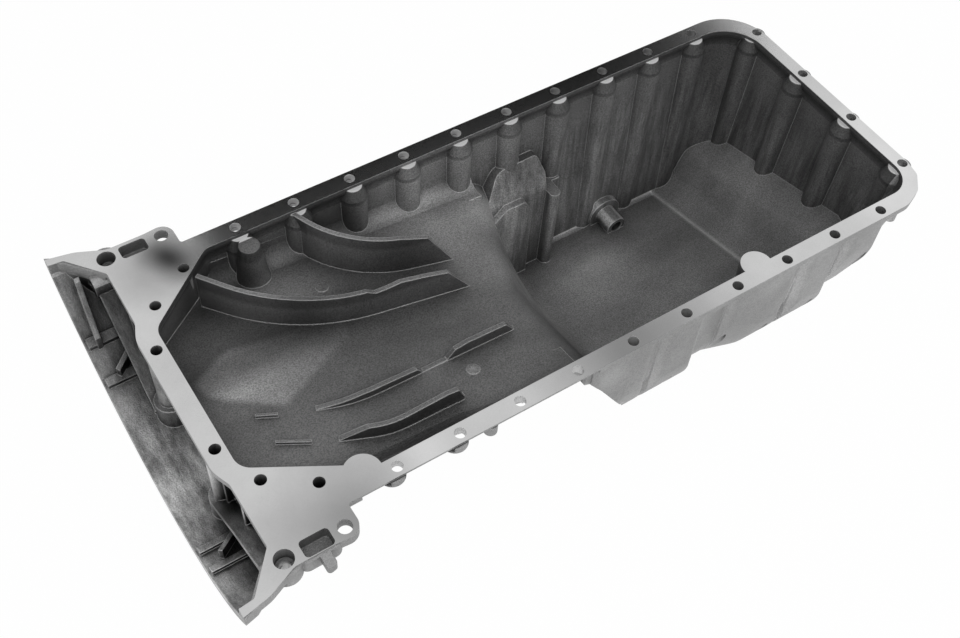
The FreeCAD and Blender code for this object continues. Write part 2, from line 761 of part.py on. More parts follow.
def bell():
    """The lower half of the bell flange: a scoop turned about the crankshaft, with its side walls and ribs."""
    axis = bell_axis_height
    back = face_x + bell_depth
    side = [(face_x, 161), (face_x + 10, 156), (face_x + 24, 140), (face_x + 49, 128), (face_x + 94, 124),
            (back + 1, 124)]

    def core(name, gap):
        """Everything from the axis out to the inner face of the scoop, and a gap more."""
        return turned(name, outline(f"{name}_profile", "XZ", [
            (face_x, axis, 0),
            (back, axis, 0),
            (back, axis - bell_throat_radius - gap, 0),
            (face_x + 49, axis - bell_radius - gap, 20),
            (face_x, axis - bell_radius - gap, 0),
        ]))

    def plan(name, inset):
        """The bell seen from above, as a tall prism below the gasket face."""
        far = [(x, y - inset, 0) for x, y in side]
        near = [(x, inset - y, 0) for x, y in reversed(side)]
        return slab(name, "XY", far + near, as_size(-1), as_size(140), (0, 0, -1))

    outside = common("bell_outside", [core("bell_outer_core", bell_wall), plan("bell_plan", 0)])
    inside = common("bell_inside", [core("bell_inner_core", as_size(0)), plan("bell_inner_plan", bell_wall)])
    shell = cut("bell_shell", outside, inside)
    low_ribs = [
        box(f"low_rib_{i}", bell_depth - 20, bell_rib, 110, face_x + 2, as_size(y) - bell_rib / 2, as_size(-112))
        for i, y in enumerate([-93, -71, 83, 110], 1)
    ]
    gussets = [
        slab("cross_gusset", "XY", [
            (face_x + 8, 106, 0), (face_x + 12, 106, 0), (face_x + 16, 140, 0), (face_x + 12, 140, 0),
        ], as_size(-1), as_size(120), (0, 0, -1)),
        slab("far_gusset", "XY", [
            (face_x + 12, 85, 0), (face_x + 14, 82.5, 0), (face_x + 27, 91.5, 0), (face_x + 25, 94, 0),
        ], as_size(-1), as_size(120), (0, 0, -1)),
        slab("near_gusset", "XY", [
            (face_x + 14, -87, 0), (face_x + 29, -75, 0), (face_x + 27, -72.5, 0), (face_x + 12, -84.5, 0),
        ], as_size(-1), as_size(120), (0, 0, -1)),
    ]
    ribs = cut("low_ribs", fused("low_rib_boxes", low_ribs), core("above_low_ribs", -bell_rib_height))
    braces = cut("gussets", fused("gusset_prisms", gussets), core("above_gussets", -gusset_height))
    front_places = [(face_x + 35.8, 45.5), (face_x + 35.8, -45.5)]
    shelf_x = face_x + 23.5
    fittings = [
        ribs,
        braces,
        discs("front_columns", front_places, front_column_radius, as_size(-1), as_size(120)),
        discs("front_feet", front_places, front_foot_radius, -front_foot_top, as_size(60)),
        shelf("far_shelf", shelf_x, [(50, -76), (57, -70.5), (90, -43.5), (128, -17), (139, -10)]),
        shelf("near_shelf", shelf_x, [(-139, -7), (-90, -31), (-57, -52.5), (-50, -57)]),
        hanging_web("far_web", 88, 40),
        hanging_web("near_web", -88, 33),
        hanging_web("near_inner_web", -56, 54),
        lying_cylinder("bell_bolt_boss", 9.5, 34, face_x + 22, as_size(134), as_size(-17)),
    ]
    held = common("bell_fittings", [fused("bell_fittings_whole", fittings), outside])
    bosses = discs("front_bosses", [
        (face_x + 50.8, 81), (face_x + 50.8, -81), (face_x + 82, 102), (face_x + 82, -102),
    ], as_size(10), as_size(-1), as_size(26))
    return [shell, held, bosses]


def shelf(name, x, line):
    """A sloping plate across one side of the bell, below a line of (across, up) points."""
    upper = [(across, up, 0) for across, up in line]
    lower = [(across, up - shelf_thickness, 0) for across, up in reversed(line)]
    return slab(name, "YZ", upper + lower, x, as_size(26), (1, 0, 0))


def hanging_web(name, y, depth):
    """A thin upright plate between the gasket flange and a shelf."""
    return box(name, 20, 3.5, depth, face_x + 33, as_size(y) - 1.75, as_size(-depth - 1))


def lying_cylinder(name, radius, length, x, y, z):
    """A cylinder along X."""
    thing = cylinder(name, radius, length, x, y, z)
    turn = FreeCAD.Rotation(FreeCAD.Vector(0, 1, 0), 90)
    thing.Placement = FreeCAD.Placement(thing.Placement.Base, turn)
    return thing


def bolt_holes():
    """Holes and the scallops outside the wall that leave room for the bolt heads."""
    last_open = 3
    rail_top = as_size(1)
    front = [
        (face_x + 35.8, 45.5), (face_x + 35.8, -45.5), (face_x + 50.8, 81), (face_x + 50.8, -81),
        (face_x + 82, 102), (face_x + 82, -102),
    ]
    return [
        discs("rail_holes", rail_points(half_row) + rail_points(-half_row, 0, last_open), bolt_hole / 2, rail_top,
              boss_thickness + 4),
        discs("long_holes", rail_points(-half_row, last_open + 1), bolt_hole / 2, rail_top, wall_depth),
        discs("end_holes", end_points(end_row_x), bolt_hole / 2, rail_top, boss_thickness + 4),
        discs("front_holes", front, bolt_hole / 2, rail_top, as_size(23)),
        discs("far_scallops", rail_points(half_row), scallop_radius, -boss_thickness, wall_depth),
        discs("near_scallops", rail_points(-half_row, 0, last_open), scallop_radius, -boss_thickness, as_size(60)),
        discs("end_scallops", end_points(end_row_x), scallop_radius, -boss_thickness, wall_depth),
    ]


def rail_chamfers():
    """Sloping lower edge of the two rails."""
    edge = half_row + rail_lip
    low = -flange_thickness - 0.5
    length = half_run * 2 + 10
    start = -(half_run + 30)
    slope = rail_chamfer + 0.5
    return [
        slab("far_rail_chamfer", "YZ", [
            (edge + 1, low, 0), (edge + 1, low + slope + 1, 0), (edge - slope, low, 0),
        ], start, length, (1, 0, 0)),
        slab("near_rail_chamfer", "YZ", [
            (-edge - 1, low, 0), (-edge + slope, low, 0), (-edge - 1, low + slope + 1, 0),
        ], start, as_size(190), (1, 0, 0)),
    ]


def build():
    parts, ear_cuts = flange()
    hollow, skin = hollow_and_skin()
    bore = cylinder("drain_bore_hole", drain_bore / 2, 80, drain_x, as_size(81), -drain_height)
    pad = cylinder("drain_outer_pad", drain_bore, 24, drain_x, half_row - 18, -drain_height)
    for thing in (bore, pad):
        thing.Placement = FreeCAD.Placement(thing.Placement.Base, FreeCAD.Rotation(FreeCAD.Vector(1, 0, 0), -90))
    body = fused("body", parts + [skin] + bell() + [pad])
    clear = cut("clear_hollow", hollow, fused("standing_features", inner_features()))
    bell_hole = lying_cylinder("bell_bolt_bore", bell_bolt_hole / 2, 16, face_x + 20, as_size(134), as_size(-17))
    tools = fused("cuts", ear_cuts + bolt_holes() + rail_chamfers() + [bore, bell_hole])
    casting = cut("oil_pan_casting", cut("hollowed_body", body, clear), tools)
    casting.Label = "oil_pan_casting"
    doc.recompute()
    return casting


casting = build()
faulty = [thing.Name for thing in doc.Objects if "Invalid" in thing.State or "Error" in thing.State]
if faulty:
    raise RuntimeError("not recomputed: " + ", ".join(faulty))
if casting.Shape.isNull() or not casting.Shape.isValid() or len(casting.Shape.Solids) != 1:
    raise RuntimeError("the casting is not one sound solid")
os.makedirs("parts", exist_ok=True)
casting.Shape.exportStep("parts/oil_pan_casting.step")
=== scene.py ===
# %% [markdown]
# A cast engine oil pan in a white studio. The solids come from the CAD model, so this script gives them
# their finish, their light and the photographer's point of view. Every length here is in metres.

# %% Load the frame
import json

import bpy
from mathutils import Matrix, Vector


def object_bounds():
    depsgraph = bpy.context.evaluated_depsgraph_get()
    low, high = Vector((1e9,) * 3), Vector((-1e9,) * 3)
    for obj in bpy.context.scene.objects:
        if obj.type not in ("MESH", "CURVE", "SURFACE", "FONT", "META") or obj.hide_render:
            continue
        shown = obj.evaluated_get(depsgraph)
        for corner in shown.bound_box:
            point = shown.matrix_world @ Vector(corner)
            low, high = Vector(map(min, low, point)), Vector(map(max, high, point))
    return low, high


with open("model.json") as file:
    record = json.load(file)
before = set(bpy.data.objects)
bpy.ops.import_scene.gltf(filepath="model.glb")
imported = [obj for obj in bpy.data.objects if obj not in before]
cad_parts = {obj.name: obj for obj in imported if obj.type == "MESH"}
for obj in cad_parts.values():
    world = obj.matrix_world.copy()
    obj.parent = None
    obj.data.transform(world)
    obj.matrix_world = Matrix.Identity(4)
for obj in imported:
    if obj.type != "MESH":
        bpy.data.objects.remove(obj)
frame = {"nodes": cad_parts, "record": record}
casting = frame["nodes"]["oil_pan_casting"]
cad_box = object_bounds()
mounts = {mount["name"]: mount for mount in frame["record"]["mounts"]}
print("casting from", tuple(cad_box[0]), "to", tuple(cad_box[1]))

# %% [markdown]
# The camera looks down into the pan from above its front corner, with a normal lens. Its three directions
# were found from the rows of bolt holes, which are level and evenly spaced, so they act as a ruler.

# %% Camera
CAMERA_PLACE = Vector((-0.41460, -0.45356, 0.69873))
CAMERA_RIGHT = Vector((0.83827, -0.54277, 0.05195))
CAMERA_UP = Vector((0.41385, 0.69539, 0.58750))
SENSOR_WIDTH = 36.0
LENS = 45.61
NEAREST_SEEN = 0.05
FURTHEST_SEEN = 30

camera = bpy.data.objects.new("camera", bpy.data.cameras.new("camera"))
camera.data.sensor_width = SENSOR_WIDTH
camera.data.lens = LENS
camera.data.clip_start = NEAREST_SEEN
camera.data.clip_end = FURTHEST_SEEN
turn = Matrix((CAMERA_RIGHT, CAMERA_UP, CAMERA_RIGHT.cross(CAMERA_UP))).transposed()
camera.matrix_world = Matrix.Translation(CAMERA_PLACE) @ turn.to_4x4()
bpy.context.scene.collection.objects.link(camera)
bpy.context.scene.camera = camera
print("camera height above the gasket face:", CAMERA_PLACE.z)

# %% [markdown]
# A finish on a casting is a sum of simple rules: what faces up at the gasket height is machined, what lies
# between the walls is raw casting. Writing such rules node by node is slow to read, so one small class
# wraps a socket and turns Python's own operators into Math nodes. The sign | gives the larger of two.


# %% Sums on sockets
class Wire:
    """A socket that can be used in Python sums; each sum adds a Math node."""

    def __init__(self, finish, socket):
        self.finish = finish
        self.socket = socket

    def maths(self, operation, *values):
        return self.finish.node("ShaderNodeMath", {"operation": operation}, dict(enumerate((self,) + values)))

    def __add__(self, other):
        return self.maths("ADD", other)

    def __sub__(self, other):
        return self.maths("SUBTRACT", other)

    def __rsub__(self, other):
        return (self * -1) + other

    def __mul__(self, other):
        return self.maths("MULTIPLY", other)

    def __or__(self, other):
        return self.maths("MAXIMUM", other)

    def __gt__(self, other):
        return self.maths("GREATER_THAN", other)

    def __lt__(self, other):
        return self.maths("LESS_THAN", other)

    def __abs__(self):
        return self.maths("ABSOLUTE")

    __radd__ = __add__
    __rmul__ = __mul__


print("each sum on a socket adds a Math node")


# %% Nodes of a finish
class Finish:
    """The nodes of a material, or of the world, under construction."""

    def __init__(self, owner):
        self.owner = owner
        owner.use_nodes = True
        self.tree = owner.node_tree
        self.tree.nodes.clear()

    def node(self, kind, settings, inputs, output=0):
        """Adds a node: its settings first, then values or links for its sockets."""
        made = self.tree.nodes.new(kind)
        for name, value in settings.items():
            setattr(made, name, value)
        for key, value in inputs.items():
            if isinstance(value, Wire):
                self.tree.links.new(value.socket, made.inputs[key])
            else:
                made.inputs[key].default_value = value
        return None if output is None else Wire(self, made.outputs[output])

    def parts(self, vector):
        """The x, y and z of a vector."""
        split = self.node("ShaderNodeSeparateXYZ", {}, {0: vector}).socket.node
        return [Wire(self, socket) for socket in split.outputs]

    def length(self, *parts):
        whole = self.node("ShaderNodeCombineXYZ", {}, dict(enumerate(parts)))
        return self.node("ShaderNodeVectorMath", {"operation": "LENGTH"}, {0: whole}, "Value")

    def blend(self, factor, low, high):
        """low where the factor is 0 and high where it is 1."""
        return self.node("ShaderNodeMix", {"data_type": "FLOAT"}, {0: factor, 2: low, 3: high})

    def turned(self, factor, normal, other_normal):
        """One direction where the factor is 0 and the other where it is 1."""
        return self.node("ShaderNodeMix", {"data_type": "VECTOR"}, {0: factor, 4: normal, 5: other_normal}, 1)

    def fade(self, value, start, end):
        """0 up to the start, 1 from the end on, and a soft step between them."""
        return self.node("ShaderNodeMapRange", {"interpolation_type": "SMOOTHSTEP"},
                         {0: value, 1: start, 2: end, 3: 0.0, 4: 1.0})

    def stretched(self, place, factors):
        return self.node("ShaderNodeVectorMath", {"operation": "MULTIPLY"}, {0: place, 1: factors})

    def noise(self, place, scale, detail, roughness):
        return self.node("ShaderNodeTexNoise", {}, {
            "Vector": place, "Scale": scale, "Detail": detail, "Roughness": roughness})

    def surface(self, sockets):
        """Closes the material with a Principled shader."""
        shader = self.node("ShaderNodeBsdfPrincipled", {}, sockets)
        self.node("ShaderNodeOutputMaterial", {}, {"Surface": shader}, None)


def vary(pattern, swing):
    """A factor of 1 on average, which a pattern of 0 to 1 moves up and down by half the swing."""
    return 1 + (pattern - 0.5) * swing


alloy = Finish(bpy.data.materials.new("cast_light_alloy"))
print("finish under construction:", alloy.owner.name)

# %% [markdown]
# The whole pan is one casting, so it keeps one material, and masks choose the finish at each point. A mask
# is 1 where its rule holds and 0 elsewhere. The place and the direction of the surface are all it needs.
# The first masks find what a cutter has touched: the gasket face, and the half-moon tops of the columns
# under the bolts.

# %% Machined faces
FACES_UP = (0.9, 0.98)
LIP_HALF_WIDTH = 0.1055
LIP_END = 0.255
COLUMN_TOP = -0.0035
SHALLOW_COLUMN_TOP = -0.0095
FACE_DEPTH = 0.0004

place = alloy.node("ShaderNodeTexCoord", {}, {}, "Object")
facing = alloy.node("ShaderNodeTexCoord", {}, {}, "Normal")
x, y, z = alloy.parts(place)
endways, across, upward = alloy.parts(facing)

level = alloy.fade(upward, *FACES_UP)
gasket_face = level * (z > -FACE_DEPTH)
cap_heights = (abs(z - COLUMN_TOP) < FACE_DEPTH) + (abs(z - SHALLOW_COLUMN_TOP) < FACE_DEPTH)
column_tops = level * ((abs(y) > LIP_HALF_WIDTH) | (x > LIP_END)) * cap_heights
print("heights of the column tops:", COLUMN_TOP, SHALLOW_COLUMN_TOP)

# %% [markdown]
# The hollow is what lies between the leaning walls. The outside of the pan dips between those same planes
# where it is fluted and at the front of the sump, so what faces away from the middle there is left out.
# The scoop of the bell is a bowl turned about the crankshaft, and so a distance from that axis finds it.

# %% Hollow, outside and scoop
WALL_HALF_WIDTH = 0.1159
END_WALL = 0.2679
FRONT_WALL = -0.311
WALL_LEAN = 0.035
FLUTE_FLOOR = 0.095
FACES_OUT = 0.3
FACES_FORWARD = -0.2
UNDERSIDE = -0.25
SUMP_FRONT_REACH = 0.05
TROUGH_UNDERSIDE = -0.06
LUMPS_START = 0.08
CRANK_AXIS = 0.104
SCOOP_START = FRONT_WALL - 0.0005
SCOOP_RADIUS = 0.193
SCOOP_TOP = -0.012

between_sides = abs(y) < z * WALL_LEAN + WALL_HALF_WIDTH
between_ends = (x < z * WALL_LEAN + END_WALL) * (x > FRONT_WALL)
outer_far_side = (y > FLUTE_FLOOR) * (across > FACES_OUT)
outer_near_side = (y < -FLUTE_FLOOR) * (across < -FACES_OUT)
at_sump_front = (abs(x) < SUMP_FRONT_REACH) * (z < TROUGH_UNDERSIDE) * (y < LUMPS_START)
outside = outer_far_side | outer_near_side | at_sump_front * (endways < FACES_FORWARD)
hollow = between_sides * between_ends * (upward > UNDERSIDE) * (1 - gasket_face) * (1 - outside)
in_bowl = alloy.length(y, z - CRANK_AXIS) < SCOOP_RADIUS
scoop = (x < SCOOP_START) * in_bowl * (z < SCOOP_TOP)
print("nodes for the masks:", len(alloy.tree.nodes))

# %% [markdown]
# Bolt holes are drilled after casting, so their walls are brighter than the rest. The record of the
# model lists every pattern of holes with its centre and spacing. Each pattern is the same on both sides of
# its centre, so the size of the offset, less half the spacing, puts the origin on every hole at once.

# %% Drilled walls
MILLIMETRES = 1000
RIM = 0.0004
STEEP = 0.5
DRAIN_RADIUS = 0.0061
DRAIN_MOUTH = 0.0812

drilled = None
for mount in mounts.values():
    sizes = mount["dims"]
    radius = sizes.get("hole_r_mm") or sizes.get("r_mm")
    if radius is None or mount["axis"][2] == 0:
        continue
    from_x = abs(x - mount["pos_m"][0]) - sizes.get("spacing_x_mm", 0) / 2 / MILLIMETRES
    from_y = abs(y - mount["pos_m"][1]) - sizes.get("spacing_y_mm", 0) / 2 / MILLIMETRES
    inside = alloy.length(from_x, from_y) < radius / MILLIMETRES + RIM
    drilled = inside if drilled is None else drilled | inside
drilled = drilled * (upward < STEEP)
drain = mounts["drain_bore"]["pos_m"]
drain_wall = (alloy.length(x - drain[0], z - drain[2]) < DRAIN_RADIUS) * (y > DRAIN_MOUTH)
print("mounts in the record:", len(mounts))

# %% [markdown]
# Raw cast aluminium is dark grey and grainy, with paler patches where the metal flowed. Oil runs down the
# walls, and a cutter leaves fine lines along its path. Each of these is a noise of its own scale, and
# where one is long and thin, the place is stretched before the noise reads it.

# %% Patterns in the metal
patches = alloy.noise(place, 11.0, 4.0, 0.6)
flow = alloy.noise(alloy.stretched(place, (1.0, 2.6, 1.0)), 9.0, 3.0, 0.6)
mottle = alloy.noise(alloy.stretched(place, (2.5, 0.8, 0.8)), 30.0, 5.0, 0.7)
grain = alloy.fade(alloy.noise(place, 900.0, 2.0, 0.7), 0.3, 0.7)
specks = alloy.fade(alloy.noise(place, 900.0, 3.0, 0.8), 0.35, 0.65)
runs = alloy.fade(alloy.noise(alloy.stretched(place, (1.0, 1.0, 0.08)), 130.0, 4.0, 0.75), 0.3, 0.7)
streaks = alloy.noise(alloy.stretched(place, (1.0, 9.0, 1.0)), 420.0, 2.0, 0.6)
print("nodes with the patterns:", len(alloy.tree.nodes))

# %% [markdown]
# Sharp edges are painted pale, partly as wear and partly as painted highlight, inside corners too. The Bevel
# node rounds the normal near an edge, and where that differs from the plain normal there is an edge. The
# Ambient Occlusion node finds narrow places, which the greys below darken as painted shade.

# %% Edges and narrow places
EDGE_RADIUS = 0.0014
CORNER_REACH = 0.045
RAY_SAMPLES = 4

rounded = alloy.node("ShaderNodeBevel", {"samples": RAY_SAMPLES}, {"Radius": EDGE_RADIUS})
plain = alloy.node("ShaderNodeNewGeometry", {}, {}, "Normal")
agreement = alloy.node("ShaderNodeVectorMath", {"operation": "DOT_PRODUCT"}, {0: rounded, 1: plain}, "Value")
edge = alloy.fade(agreement, 0.97, 0.8)
openness = alloy.node("ShaderNodeAmbientOcclusion", {"samples": RAY_SAMPLES}, {
    "Distance": CORNER_REACH}, "AO")
print("rounding near an edge:", EDGE_RADIUS)

# %% [markdown]
# Soft round spots paint light and shade: on the raw metal, pale along the crest and the far trough floor,
# with one small pale spot for the mark of an ejector pin; painted shade in the pockets of the scoop; and
# painted reflections, darker and lighter, on the machined faces. Each spot is where it is, how far it
# reaches, and how much it adds. One spot list belongs to each kind of surface.

# %% Spots of painted light, shade and reflection
# painted light and shade on the raw metal, apart from the ejector pin mark
PAINTED_LIGHT_AND_PIN_MARK = [
    (-0.205, 0.078, 0.06, 1.6),
    (-0.15, 0.075, 0.05, 0.5),
    (-0.07, 0.092, 0.07, 2.0),
    (-0.01, 0.085, 0.05, 2.2),
    (-0.05, 0.03, 0.05, 0.5),
    (-0.02, -0.07, 0.07, -0.4),
    (-0.26, -0.07, 0.06, 0.25),
    (0.09, 0.06, 0.07, 0.5),
    (-0.29, 0.0, 0.04, 0.4),
    # the pale mark of an ejector pin
    (-0.126, -0.0676, 0.007, 1.2),
]
# painted shade in the narrow pockets of the scoop
PAINTED_POCKET_SHADE = [
    (-0.316, -0.066, 0.024, -0.9),
    (-0.322, 0.105, 0.06, -0.35),
]
# painted reflections, darker and lighter, on the machined faces
PAINTED_REFLECTIONS = [
    (-0.03, -0.118, 0.10, -0.55),
    (-0.256, -0.119, 0.06, -0.25),
    (0.265, -0.10, 0.12, 0.2),
    (-0.20, -0.118, 0.03, 0.15),
    (-0.285, 0.115, 0.05, -0.35),
    (-0.266, 0.105, 0.026, -0.5),
    (-0.275, 0.125, 0.026, -0.5),
    (-0.30, -0.125, 0.05, -0.2),
    (0.04, -0.118, 0.06, -0.15),
    (0.11, 0.118, 0.17, -0.45),
    (-0.255, -0.15, 0.05, -0.3),
]


def spots(places):
    """The sum of soft round spots, each with its centre, reach and strength."""
    total = 0
    for spot_x, spot_y, reach, strength in places:
        total = alloy.fade(alloy.length(x - spot_x, y - spot_y), reach, 0.0) * strength + total
    return total


print("spots:", len(PAINTED_LIGHT_AND_PIN_MARK), len(PAINTED_POCKET_SHADE), len(PAINTED_REFLECTIONS))

# %% [markdown]
# The floor of the real trough has a shallow dish with straight sides. The solid leaves it out, so it is
# painted light here: a lighter patch where the dish faces the lamps. The mask is the inside of six soft
# lines, and a band of painted shade lies along its far side.

# %% Dish in the trough floor
DISH_CORNERS = [
    (-0.300, 0.022),
    (-0.268, 0.040),
    (-0.180, 0.026),
    (-0.184, 0.008),
    (-0.254, -0.028),
    (-0.297, 0.006),
]
DISH_EDGE = 0.008
BAND_SLOPE = 0.13
BAND_NEAR = (0.028, 0.055)
BAND_FAR = (0.092, 0.06)
BAND_END = (-0.14, -0.2)

dish = 1
for start, end in zip(DISH_CORNERS, DISH_CORNERS[1:] + DISH_CORNERS[:1]):
    along = (Vector(end) - Vector(start)).normalized()
    inward = (x - start[0]) * along.y - (y - start[1]) * along.x
    dish = alloy.fade(inward, -DISH_EDGE / 2, DISH_EDGE / 2) * dish
# painted shade in a band along the far side of the dish
band_height = y - x * BAND_SLOPE
painted_dish_shade = alloy.fade(band_height, *BAND_NEAR) * alloy.fade(band_height, *BAND_FAR)
painted_dish_shade = painted_dish_shade * alloy.fade(x, *BAND_END)
print("corners of the dish:", len(DISH_CORNERS))

# %% [markdown]
# Behind a crease, the floor of the real sump rises to the end wall as one plane. The solid has a rounded
# step there. One steady normal shades that area as a plane, and a painted highlight, a pale line, draws the
# crease. The step stays in the mesh and still shows where it meets the walls.

# %% Far floor of the sump
CREASE = 0.2035
CREASE_WIDTH = 0.0035
CREASE_TOP = -0.12
FAR_FLOOR_TOP = -0.085
FAR_FLOOR_END = 0.262
FAR_FLOOR_STEEPEST = 0.25
FAR_FLOOR_NORMAL = (-0.36, 0.2, 0.91)

far_floor = (x > CREASE) * (z < FAR_FLOOR_TOP) * (upward > FAR_FLOOR_STEEPEST) * (x < FAR_FLOOR_END)
# painted highlight along the crease
crease = alloy.fade(abs(x - CREASE), CREASE_WIDTH, 0.0) * (z < CREASE_TOP) * (upward > STEEP)
print("crease at", CREASE)

# %% [markdown]
# The grey of the raw metal starts from four plain values, for floors and walls, shallow and deep; the deep
# values are lighter, as painted light in the sump. Then the dish, the spots and the patterns multiply it, and
# the walls grow darker towards the end wall. Where a pair of values says where something fades, the first is
# where the fade starts and the second where it ends.

# %% Grey of the raw metal
FLOOR_GREYS = (0.12, 0.23)
WALL_GREYS = (0.13, 0.22)
WALL_TO_FLOOR = (0.2, 0.75)
SHALLOW_TO_DEEP = (-0.07, -0.12)
TROUGH_TO_SUMP = (-0.02, 0.03)
TOWARDS_END_WALL = (0.12, 0.23)
TOWARDS_DISH_FRONT = (-0.19, -0.27)
RUNS_START = (-0.03, -0.06)

walls = (1 - alloy.fade(upward, *WALL_TO_FLOOR)) * (1 - far_floor)
deep = alloy.fade(z, *SHALLOW_TO_DEEP)
# deep floors and walls painted lighter: painted light in the sump
floor_grey = alloy.blend(deep, *FLOOR_GREYS)
wall_grey = alloy.blend(alloy.fade(x, *TROUGH_TO_SUMP), *WALL_GREYS)
end_wall = alloy.fade(x, *TOWARDS_END_WALL) * walls
raw_grey = alloy.blend(walls, floor_grey, wall_grey) * (vary(flow, 0.9) + spots(PAINTED_LIGHT_AND_PIN_MARK))
# painted light over the dish, stronger towards its front
raw_grey = raw_grey * (1 + dish * (alloy.fade(x, *TOWARDS_DISH_FRONT) * 0.9 + 0.3))
# painted shade along the dish, and walls darker towards the end wall
raw_grey = raw_grey * (1 - painted_dish_shade * 0.5) * (1 - end_wall * 0.4)
raw_grey = raw_grey * vary(patches, 0.9) * vary(specks, 0.8)
raw_grey = raw_grey * (1 + (runs - 0.5) * walls * alloy.fade(z, *RUNS_START) * 0.8)
print("nodes with the raw metal:", len(alloy.tree.nodes))

# %% [markdown]
# Painted shade darkens the tops of the walls under the lip of the gasket face, and the narrow corners. The
# foot of the far wall leans into the light and is painted pale, as painted light, and every free edge gets a
# pale line of wear and painted highlight. The columns stand in the shade of the lip, so their shoulders are
# painted darker and keep no pale edge, and the first column is painted darker still. The crease gets its
# painted highlight.

# %% Shade, foot and pale edges
UNDER_LIP = (-0.016, -0.010)
SHOULDER_HEIGHTS = (-0.016, -0.004)
FOOT_LEAN = (0.1, 0.5)
FOOT_END = (0.97, 0.85)
PAINTED_CORNER_SHADE_SPAN = (0.2, 1.2)
EDGE_WEAR_AND_HIGHLIGHT = 0.4
CREASE_LIGHT = 0.2
COLUMNS_HALF_WIDTH = 0.097
COLUMNS_END = 0.245
FIRST_COLUMN = (-0.2163, 0.0999)
FIRST_COLUMN_RADIUS = 0.013

# painted shade under the lip
under_lip = alloy.fade(z, *UNDER_LIP) * walls
# painted light on the foot of the far wall
foot_slope = alloy.fade(upward, *FOOT_LEAN) * alloy.fade(upward, *FOOT_END)
painted_foot_light = deep * foot_slope * (y > LUMPS_START) * (x < CREASE)
# painted shade in narrow corners
painted_corner_shade = alloy.blend(openness | far_floor * 0.7, *PAINTED_CORNER_SHADE_SPAN)
raw_grey = raw_grey * (1 - under_lip * 0.45) * (1 + painted_foot_light * 1.6) * painted_corner_shade

# painted shade on the column shoulders and the first column; pale edges of wear and painted highlight
beside_columns = (abs(y) > COLUMNS_HALF_WIDTH) | (x > COLUMNS_END)
shoulders = beside_columns * (z > SHOULDER_HEIGHTS[0]) * (z < SHOULDER_HEIGHTS[1])
from_first_column = alloy.length(x - FIRST_COLUMN[0], y - FIRST_COLUMN[1])
first_column_shade = alloy.fade(from_first_column, FIRST_COLUMN_RADIUS, FIRST_COLUMN_RADIUS - 0.002)
edge_wear_and_highlight = edge * (1 - shoulders) * (1 - first_column_shade) * EDGE_WEAR_AND_HIGHLIGHT
raw_grey = raw_grey * (1 - shoulders * 0.35) * (1 - first_column_shade * 0.45) + edge_wear_and_highlight + crease * CREASE_LIGHT
print("nodes with the shade and the edges:", len(alloy.tree.nodes))

# %% [markdown]
# The outside is evenly pale, with painted shade in its narrow corners. The flutes of the near wall are soft
# in the real casting, so what they close in is lightened there with painted light, against their shade. The
# scoop of the bell gets dark and blotchy towards the far side, with painted shade in its narrow pockets and
# pale edges of wear and painted highlight. The machined faces shine, with painted reflections, darker and
# lighter, in a few places.

# %% Grey of the outside, the scoop and the cut faces
OUTER_GREYS = (0.28, 0.38)
CORNER_SHADE = (0.45, 1.05)
FLUTE_LIGHT = (2.2, 1.0)
NEAR_FLANK = -0.1
NEAR_FLANK_START = -0.03
SCOOP_GREYS = (0.34, 0.16)
SCOOP_FAR_SIDE = (-0.02, 0.07)
SCOOP_EDGE = 0.3
CUT_GREYS = (0.5, 0.6)

near_flank = (y < NEAR_FLANK) * (x > NEAR_FLANK_START)
# painted shade in the corners of the outside
corner_shade = alloy.blend(openness, *CORNER_SHADE)
# painted light in the flutes of the near wall
flute_light = alloy.blend(near_flank, corner_shade, alloy.blend(openness, *FLUTE_LIGHT))
outer_grey = alloy.blend(alloy.fade(patches, 0.35, 0.65), *OUTER_GREYS) * vary(grain, 0.3) * flute_light

towards_far_side = alloy.fade(y, *SCOOP_FAR_SIDE)
scoop_grey = alloy.blend(towards_far_side, *SCOOP_GREYS) * vary(alloy.fade(mottle, 0.3, 0.7), 1.2)
# painted shade deep in the scoop
scoop_grey = scoop_grey * vary(grain, 0.4) * alloy.blend(openness * openness, 0.0, 1.4)
# pale scoop edges of wear and painted highlight, and painted shade in its pockets
scoop_grey = (scoop_grey + edge * SCOOP_EDGE) * (1 + spots(PAINTED_POCKET_SHADE))

# painted reflections on the cut faces
cut_grey = alloy.blend(streaks, *CUT_GREYS) * (1 + spots(PAINTED_REFLECTIONS)) * vary(patches, 0.5)
print("nodes with the other greys:", len(alloy.tree.nodes))

# %% [markdown]
# The masks now lay these greys over one another, from the widest surface to the smallest. The bores of the
# front end are painted dark where they are narrow, as painted shade, and those of the rails are pale. The
# drain bore is painted almost black inside, as painted shade, and lighter towards its mouth, as painted
# light.

# %% One grey for the whole casting
COLUMN_TOP_GREY = 0.75
RAIL_BORE_GREYS = (0.6, 0.3)
ALONG_RAIL = (-0.02, 0.1)
FRONT_BORE_GREYS = (0.02, 0.6)
FRONT_END = -0.25
DRAIN_SHADE_GREY = 0.01
DRAIN_RIM = 0.084
DRAIN_RIM_GREY = 0.3

grey = alloy.blend(hollow, alloy.blend(scoop, outer_grey, scoop_grey), raw_grey)
grey = alloy.blend(column_tops, grey, COLUMN_TOP_GREY)
rail_bore = alloy.blend(alloy.fade(x, *ALONG_RAIL), *RAIL_BORE_GREYS)
# painted shade deep in the front bores
front_bore_shade = alloy.blend(openness, *FRONT_BORE_GREYS)
grey = alloy.blend(drilled, grey, alloy.blend(x < FRONT_END, rail_bore, front_bore_shade))
